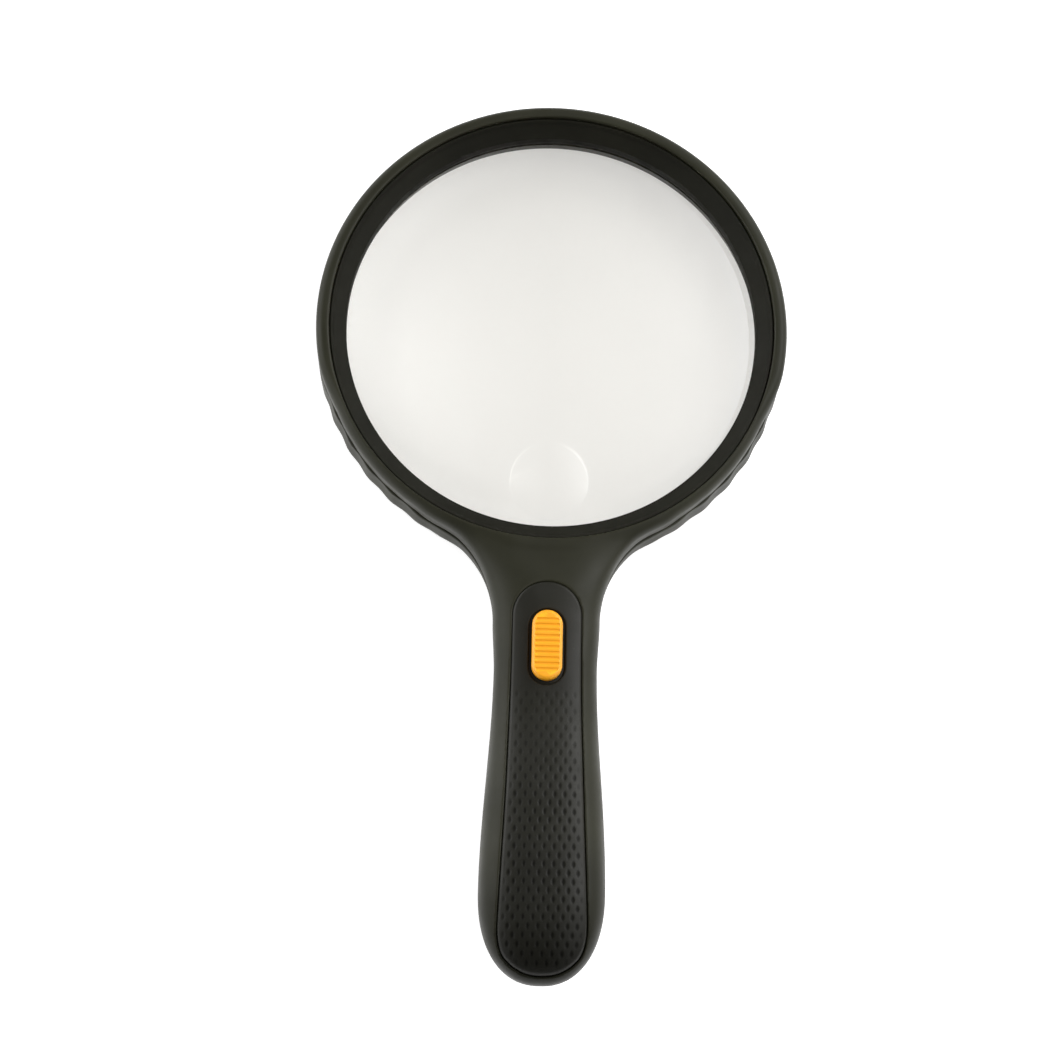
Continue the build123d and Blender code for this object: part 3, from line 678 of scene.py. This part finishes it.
def cell_points(values, cells):
    """One point per mixed cell, in grid steps: the middle of the surface's crossings of its edges."""
    total, crossings = np.zeros((len(cells), 3)), np.zeros((len(cells), 1))
    for a in CORNERS:
        for axis in range(3):
            if a[axis]:
                continue
            b = tuple(v + (i == axis) for i, v in enumerate(a))
            va = values[tuple((cells + a).T)]
            vb = values[tuple((cells + b).T)]
            cross = (va < 0) != (vb < 0)
            t = np.where(cross, va / np.where(cross, va - vb, 1), 0)
            point = np.array(a, float) + np.eye(3)[axis] * t[:, None]
            total += point * cross[:, None]
            crossings += cross[:, None]
    return cells + total / crossings


def cell_quads(inside, ids):
    """A quad for each grid edge that crosses the surface, between the cells round that edge."""
    quads = []
    for axis in range(3):
        first = [slice(None)] * 3
        second = [slice(None)] * 3
        first[axis], second[axis] = slice(0, -1), slice(1, None)
        change = inside[tuple(first)] != inside[tuple(second)]
        p, q = [i for i in range(3) if i != axis]
        keep = [slice(None)] * 3
        keep[p], keep[q] = slice(1, -1), slice(1, -1)
        spots = np.argwhere(change[tuple(keep)])
        spots[:, p] += 1
        spots[:, q] += 1
        face = []
        for dp, dq in ((-1, -1), (0, -1), (0, 0), (-1, 0)):
            c = spots.copy()
            c[:, p] += dp
            c[:, q] += dq
            face.append(ids[tuple(c.T)])
        face = np.stack(face, 1)
        out = inside[tuple(spots.T)]
        flip = out if axis != 1 else ~out
        face[~flip] = face[~flip][:, ::-1]
        quads.append(face)
    return np.concatenate(quads)[:, ::-1]


def drawn_to_surface(field, points, longest):
    """Points moved one Newton step towards the field's zero surface, by no more than longest."""
    h = GRADIENT_STEP
    x, s, z = points.T
    f = field(x, s, z)
    grad = np.stack([
        field(x + h, s, z) - field(x - h, s, z),
        field(x, s + h, z) - field(x, s - h, z),
        field(x, s, z + h) - field(x, s, z - h)], 1) / (2 * h)
    size = np.maximum((grad**2).sum(1), GRADIENT_LEAST)
    move = -(f / size)[:, None] * grad
    length = np.maximum(np.linalg.norm(move, axis=1), 1e-9)
    return points + move * np.minimum(1, longest / length)[:, None]


def row_frame(points):
    """(x, station, z) in mm to the frame's metres."""
    return np.stack([points[:, 0], RING_Y - points[:, 1], points[:, 2]], 1) * MM


def field_mesh(name, field, low, high, step):
    """Closed mesh of a field's zero surface: one point per mixed cell, drawn onto the surface."""
    axes = [np.arange(a, b + step, step) for a, b in zip(low, high)]
    values = sample(field, axes)
    inside = values < 0
    cells, ids = mixed_cells(inside)
    points = cell_points(values, cells) * step + np.array([a[0] for a in axes])
    for _ in range(POLISH_STEPS):
        points = drawn_to_surface(field, points, POLISH_REACH * step)
    return make_mesh(name, row_frame(points), cell_quads(inside, ids))


def outward(points, faces):
    """Faces turned round if they enclose a negative volume."""
    a, b, c = (points[faces[:, i]] for i in range(3))
    volume = (np.cross(a, b) * c).sum()
    if faces.shape[1] == 4:
        volume += (np.cross(a, c) * points[faces[:, 3]]).sum()
    return faces if volume > 0 else faces[:, ::-1]


def make_mesh(name, points, faces):
    """Smooth mesh object from points (metres) and faces that all have the same number of sides."""
    points = np.asarray(points, float)
    faces = outward(points, np.asarray(faces))
    mesh = bpy.data.meshes.new(name)
    sides = faces.shape[1]
    mesh.vertices.add(len(points))
    mesh.vertices.foreach_set("co", np.asarray(points, np.float32).ravel())
    mesh.loops.add(len(faces) * sides)
    mesh.loops.foreach_set("vertex_index", faces.astype(np.int32).ravel())
    mesh.polygons.add(len(faces))
    mesh.polygons.foreach_set("loop_start", np.arange(0, len(faces) * sides, sides, dtype=np.int32))
    mesh.update(calc_edges=True)
    mesh.validate()
    mesh.polygons.foreach_set("use_smooth", np.ones(len(mesh.polygons), bool))
    made = bpy.data.objects.new(name, mesh)
    bpy.context.scene.collection.objects.link(made)
    return made


def adopt(piece, material, body, slot, *stands_for):
    """Gives a piece its material and its body, and hides the CAD nodes it stands for."""
    piece.data.materials.append(material)
    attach(piece, body)
    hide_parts(*stands_for)
    return piece


def mark_pits(piece):
    """Stores how deep each point of the pad lies in a pit, for the painted shade in the pits."""
    count = len(piece.data.vertices)
    co = np.empty(count * 3, np.float32)
    piece.data.vertices.foreach_get("co", co)
    x, y, z = (co.reshape(-1, 3) / MM).T.astype(float)
    s = RING_Y - y
    depth = (1 - pad_relief(x, s)) * pad_pattern_area(x, s)
    layer = piece.data.attributes.new("pit", "FLOAT", "POINT")
    layer.data.foreach_set("value", depth.astype(np.float32))


# ---------------------------------------------------------------- housing, pad, door and knob
# The grid step is in mm; small pieces take a finer one.
GRID = 0.5
RING_HALF = RING_R + 1.5
SHELL_END = BUTT + 1.5

front = field_mesh("front_housing", front_field, (-RING_HALF, -RING_HALF, PART_Z - 1),
                   (RING_HALF, SHELL_END, BELLY_TOP + 1), GRID)
adopt(front, SHELL, "housing", "shell_plastic", "front_shell")
rear = field_mesh("rear_housing", rear_field, (-RING_HALF, -RING_HALF, -1.2),
                  (RING_HALF, SHELL_END, PART_Z + 1), GRID)
adopt(rear, SHELL, "housing", "shell_plastic", "rear_shell")
pad = field_mesh("grip_skin", pad_field, (-15.5, PAD_TOP - 1, PAD_FLOOR - 1),
                 (15.5, BUTT + 1, BELLY_TOP + 1.2), GRID * 0.5)
adopt(pad, PAD, "housing", "grip_rubber", "grip_pad")
mark_pits(pad)
door = field_mesh("battery_hatch", door_field, (-12.6, HINGE - 2, -1), (12.6, DOOR_END + 1, 6), GRID * 0.6)
adopt(door, SHELL, "door", "shell_plastic", "battery_door")
knob = field_mesh("thumb_slide", knob_field, (-5.6, KNOB - 12.2, 17.6), (5.6, KNOB + 12.2, 26.4), GRID * 0.36)
adopt(knob, ORANGE, "switch_slider", "knob_plastic", "switch_knob")

# ---------------------------------------------------------------- bezel


def turned_ring(name, profile, count=384):
    """Closed ring about the lens axis from a closed profile of (radius, height)."""
    profile = np.array(profile)
    angles = np.linspace(0, 2 * np.pi, count, endpoint=False)
    r, z = profile[:, 0], profile[:, 1]
    points = np.stack([
        np.cos(angles)[:, None] * r[None, :],
        RING_Y + np.sin(angles)[:, None] * r[None, :],
        np.broadcast_to(z[None, :], (count, len(r)))], 2).reshape(-1, 3) * MM
    m = len(r)
    i, j = np.meshgrid(np.arange(count), np.arange(m), indexing="ij")
    a, b = i * m + j, ((i + 1) % count) * m + j
    c, d = ((i + 1) % count) * m + (j + 1) % m, i * m + (j + 1) % m
    return make_mesh(name, points, np.stack([a, b, c, d], 2).reshape(-1, 4))


def arc(centre, radius, start, end, steps):
    """Points of an arc in (radius, height), angles in degrees."""
    t = np.radians(np.linspace(start, end, steps))
    return [(centre[0] + radius * math.cos(v), centre[1] + radius * math.sin(v)) for v in t]


def lens_height(r, side):
    """Height of the main lens's front (side 1) or back (side -1) at a radius."""
    whole = math.sqrt(LENS_SPHERE**2 - LENS_R**2)
    base = LENS_BACK_EDGE + (LENS_EDGE if side > 0 else 0.0)
    return base + side * (np.sqrt(LENS_SPHERE**2 - np.asarray(r) ** 2) - whole)


def bezel_profile():
    """Cross-section: steep inner wall, sloping face, rounded shoulder, hidden underside."""
    foot = float(lens_height(APERTURE_R, 1)) + 0.03
    top = RING_H - 1.5
    under = PART_Z + 0.1
    wall = [(APERTURE_R, foot), (APERTURE_R, foot + 1.2), (APERTURE_R, foot + 2.6), (APERTURE_R, 14.0)]
    inner_round = arc((APERTURE_R + 0.6, 14.25), 0.6, 170, 110, 7)
    slope = [(69.2, 15.45), (70.4, 16.35), (71.6, 17.25), (72.3, 17.8)]
    shoulder = arc((BEZEL_R - 0.25, top - 0.15), 0.45, 118, 20, 8)
    outside = [(BEZEL_R + 0.2, top - 1.3), (BEZEL_R + 0.2, PART_Z + 0.5), (BEZEL_R - 0.3, under)]
    underside = [(70.2, under), (LENS_R, under), (LENS_R, foot)]
    return wall + inner_round + slope + shoulder + outside + underside


bezel = turned_ring("lens_retainer", bezel_profile())
adopt(bezel, BEZEL, "housing", "bezel_plastic", "lens_bezel")

# ---------------------------------------------------------------- lens


def insert_rings(ball, out, spoke):
    """Rings of points over the insert's dome, raised by its step, and its foot on the main lens."""
    rings = []
    for f in np.linspace(0.02, 1, 40):
        rho = f * INSERT_R
        rings.append(ball + out * math.sqrt(INSERT_SPHERE**2 - rho**2) + rho * spoke)
    rings = [ring + out * INSERT_STEP for ring in rings]
    rings.append(rings[-1] - out * INSERT_STEP + INSERT_STEP * spoke)
    return rings


def on_lens(plan, side):
    """Plan points lifted to the main lens's front or back."""
    z = lens_height(np.minimum(np.linalg.norm(plan, axis=1), LENS_R), side)
    return np.concatenate([plan, z[:, None]], 1)


def face_rings(rim, middle):
    """Rings from the insert's foot out to the lens's edge and back over the rear face to the middle."""
    ray = rim - middle
    ray /= np.linalg.norm(ray, axis=1)[:, None]
    along = (rim * ray).sum(1)
    far = -along + np.sqrt(along**2 + LENS_R**2 - (rim**2).sum(1))
    rings = [on_lens(rim + ray * (far * f)[:, None], 1) for f in np.linspace(0, 1, 90)[1:]]
    edge = rings[-1][:, :2]
    rings += [on_lens(middle + (edge - middle) * f, -1) for f in np.linspace(1, 0.01, 100)]
    return rings


def ring_triangles(count, rays):
    """Triangles between rings of points, closed by a first point (at count * rays) and a last one."""
    i, j = np.meshgrid(np.arange(count - 1), np.arange(rays), indexing="ij")
    k = (j + 1) % rays
    quads = np.stack([i * rays + j, i * rays + k, (i + 1) * rays + k, (i + 1) * rays + j], 2).reshape(-1, 4)
    js = np.arange(rays)
    ks = (js + 1) % rays
    last = (count - 1) * rays
    start = np.stack([np.full(rays, count * rays), ks, js], 1)
    end = np.stack([np.full(rays, count * rays + 1), last + js, last + ks], 1)
    return np.concatenate([quads[:, [0, 1, 2]], quads[:, [0, 2, 3]], start, end])


def lens_mesh(name, rays=512):
    """Both lens faces and the raised insert in one closed surface, spread from the insert's centre."""
    whole = math.sqrt(LENS_SPHERE**2 - LENS_R**2)
    centre = np.array([0, 0, LENS_BACK_EDGE + LENS_EDGE - whole])
    tilt = math.asin(INSERT_STATION / LENS_SPHERE)
    out = np.array([0, math.sin(tilt), math.cos(tilt)])
    e1, e2 = np.array([1.0, 0, 0]), np.array([0, math.cos(tilt), -math.sin(tilt)])
    reach = math.sqrt(LENS_SPHERE**2 - INSERT_R**2) - math.sqrt(INSERT_SPHERE**2 - INSERT_R**2)
    ball = centre + out * reach
    phi = np.linspace(0, 2 * np.pi, rays, endpoint=False)
    spoke = np.cos(phi)[:, None] * e1 + np.sin(phi)[:, None] * e2
    rings = insert_rings(ball, out, spoke)
    middle = (out * math.sqrt(LENS_SPHERE**2 - INSERT_R**2) + centre)[:2]
    rings += face_rings(rings[-1][:, :2], middle)
    top = ball + out * (INSERT_SPHERE + INSERT_STEP)
    bottom = np.array([middle[0], middle[1], float(lens_height(np.linalg.norm(middle), -1))])
    points = np.concatenate(rings + [[top, bottom]])
    return make_mesh(name, row_frame(points), ring_triangles(len(rings), rays))


lens = lens_mesh("lens_glass")
adopt(lens, LENS, "housing", "lens_clear", "lens_main", "bifocal_lens")

# ---------------------------------------------------------------- floor and world
FLOOR_HALF = 60.0
FLOOR_DROP = 0.0002
# glow of the floor by distance from the lens's middle; the lower glow under the lens is painted shade
SHADE_UNDER_LENS, AROUND = (0.055, 0.45), (0.078, 0.7)


def floor():
    """White ground that glows a little, less under the lens as a painted shade there; distances from the
    lens's middle in metres.
    """
    mesh = bpy.data.meshes.new("floor")
    a = FLOOR_HALF
    mesh.from_pydata([(-a, -a, 0), (a, -a, 0), (a, a, 0), (-a, a, 0)], [], [(0, 1, 2, 3)])
    made = bpy.data.objects.new("floor", mesh)
    bpy.context.scene.collection.objects.link(made)
    made.location = (0, 0, -FLOOR_DROP)
    material, tree, shader = new_material("floor_white")
    tree.links.new(mottle(tree, noise(tree, 2.0, 2.0), grey(0.88), grey(0.9)), shader.inputs["Base Color"])
    shader.inputs["Roughness"].default_value = 0.9
    shader.inputs["Emission Color"].default_value = grey(1)
    place = node(tree, "ShaderNodeTexCoord")
    away = node(tree, "ShaderNodeVectorMath", operation="DISTANCE")
    away.inputs[1].default_value = (0, RING_Y * MM, 0)
    tree.links.new(place.outputs["Object"], away.inputs[0])
    glow = grey_ramp(tree, away.outputs["Value"], SHADE_UNDER_LENS, AROUND)
    tree.links.new(glow, shader.inputs["Emission Strength"])
    made.data.materials.append(material)


def sky_direction(tree):
    """X, Y and Z of the direction looked in, each from 0 to 1."""
    place = node(tree, "ShaderNodeTexCoord")
    scale = node(tree, "ShaderNodeMapping")
    scale.inputs["Scale"].default_value = (0.5, 0.5, 0.5)
    scale.inputs["Location"].default_value = (0.5, 0.5, 0.5)
    split = node(tree, "ShaderNodeSeparateXYZ")
    tree.links.new(place.outputs["Generated"], scale.inputs["Vector"])
    tree.links.new(scale.outputs["Vector"], split.inputs["Vector"])
    return split.outputs


def studio():
    """White tent: a low glow at the left, a higher one at the right, dark behind the butt."""
    faint, strength = 0.02, 5.0
    world = bpy.data.worlds.new("studio")
    bpy.context.scene.world = world
    world.use_nodes = True
    tree = world.node_tree
    x, y, z = sky_direction(tree)
    left = combine(tree, grey_ramp(tree, x, (0.0, 0.9), (0.2, 0.6), (0.42, 0.06), (0.5, 0)),
                   grey_ramp(tree, z, (0.5, 0.3), (0.64, 1), (0.8, 0.8), (0.92, 0.2)), "MULTIPLY")
    right = combine(tree, grey_ramp(tree, x, (0.52, 0), (0.62, 0.25), (0.76, 1), (1.0, 0.9)),
                    grey_ramp(tree, z, (0.5, 0.03), (0.66, 0.35), (0.82, 1), (1.0, 0.7)), "MULTIPLY")
    both = combine(tree, left, right, "ADD")
    along = grey_ramp(tree, y, (0.0, 0.05), (0.25, 0.2), (0.48, 0.65), (0.7, 1.0), (1.0, 0.6))
    lobes = combine(tree, both, along, "MULTIPLY")
    glow = node(tree, "ShaderNodeMix", data_type="RGBA", blend_type="ADD")
    glow.inputs["Factor"].default_value = 1.0
    glow.inputs["B"].default_value = grey(faint)
    tree.links.new(lobes, glow.inputs["A"])
    tree.links.new(glow.outputs["Result"], tree.nodes["Background"].inputs["Color"])
    tree.nodes["Background"].inputs["Strength"].default_value = strength


floor()
studio()
bpy.context.scene.view_settings.view_transform = "Standard"
